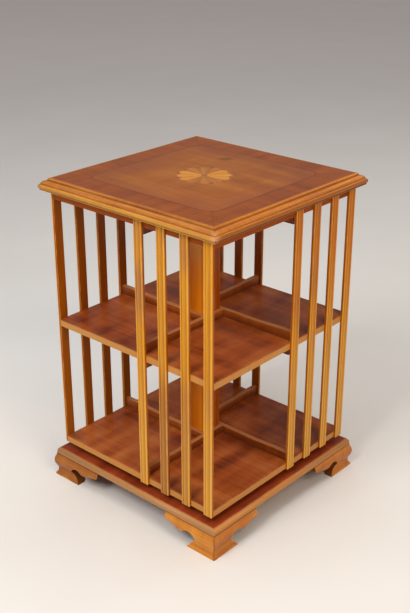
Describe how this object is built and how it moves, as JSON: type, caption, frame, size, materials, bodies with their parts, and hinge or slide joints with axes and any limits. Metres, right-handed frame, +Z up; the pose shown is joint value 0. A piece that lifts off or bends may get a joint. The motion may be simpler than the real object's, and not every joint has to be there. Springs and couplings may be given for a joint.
{
  "type": "revolving bookcase",
  "caption": "Two-tier square revolving bookcase with reeded slats, a moulded inlaid top and a fixed base on ogee bracket feet.",
  "frame": {"origin": "on the floor, under the spindle, at the centre of the four feet", "axes": "+Z up along the spindle; -Y is the front side and +X the right side of the fixed base"},
  "size_m": [0.4858, 0.4858, 0.705],
  "materials": {
    "board_wood": "polished red-brown mahogany",
    "foot_wood": "polished lighter mahogany",
    "hidden_wood": "bare softwood",
    "steel": "plain machined steel",
    "cage_brass": "stamped brass",
    "bush_plastic": "natural nylon",
    "column_wood": "polished orange-brown mahogany",
    "rail_wood": "polished mahogany",
    "slat_wood": "polished honey-coloured wood",
    "moulding_wood": "polished lighter mahogany",
    "band_veneer": "polished mahogany veneer, straight grained",
    "string_veneer": "dark stringing",
    "field_veneer": "polished mahogany veneer",
    "petal_light": "satinwood veneer",
    "petal_dark": "satinwood veneer with crossing grain",
    "patera_ground": "shaded veneer"
  },
  "bodies": {
    "base": {"base_board": "board_wood", "foot_1_front": "foot_wood", "foot_4_front": "foot_wood", "foot_2_right": "foot_wood", "foot_1_right": "foot_wood", "foot_3_back": "foot_wood", "foot_2_back": "foot_wood", "foot_4_left": "foot_wood", "foot_3_left": "foot_wood", "foot_blocks": "hidden_wood", "spindle": "steel", "spindle_flange": "steel", "retaining_collar": "steel", "lower_race": "steel", "base_screws": "steel"},
    "cage": {"ball_cage": "cage_brass", "bearing_balls": "steel"},
    "case": {"bottom_shelf": "board_wood", "mid_shelf": "board_wood", "sub_top": "board_wood", "top_panel": "board_wood", "upper_race": "steel", "case_screws": "steel", "spindle_bushes": "bush_plastic", "column": "column_wood", "shelf_bearers": "rail_wood", "lower_rail_front": "rail_wood", "lower_rail_right": "rail_wood", "lower_rail_back": "rail_wood", "lower_rail_left": "rail_wood", "upper_rail_front": "rail_wood", "upper_rail_right": "rail_wood", "upper_rail_back": "rail_wood", "upper_rail_left": "rail_wood", "slat_front_1": "slat_wood", "slat_front_2": "slat_wood", "slat_front_3": "slat_wood", "slat_front_4": "slat_wood", "slat_right_1": "slat_wood", "slat_right_2": "slat_wood", "slat_right_3": "slat_wood", "slat_right_4": "slat_wood", "slat_back_1": "slat_wood", "slat_back_2": "slat_wood", "slat_back_3": "slat_wood", "slat_back_4": "slat_wood", "slat_left_1": "slat_wood", "slat_left_2": "slat_wood", "slat_left_3": "slat_wood", "slat_left_4": "slat_wood", "top_moulding_front": "moulding_wood", "top_moulding_right": "moulding_wood", "top_moulding_back": "moulding_wood", "top_moulding_left": "moulding_wood", "crossbanding": "band_veneer", "string_inlay": "string_veneer", "field_veneer": "field_veneer", "patera_light": "petal_light", "patera_dark": "petal_dark", "patera_ground": "patera_ground"}
  },
  "joints": [
    {"name": "case_spin", "type": "hinge", "parent": "base", "child": "case", "pos_m": [0, 0, 0.0775], "axis": [0, 0, 1], "continuous": true},
    {"name": "cage_spin", "type": "hinge", "parent": "base", "child": "cage", "pos_m": [0, 0, 0.0775], "axis": [0, 0, 1], "continuous": true}
  ],
  "couplings": [
    {"joint": "cage_spin", "follows": "case_spin", "ratio": 0.5}
  ]
}
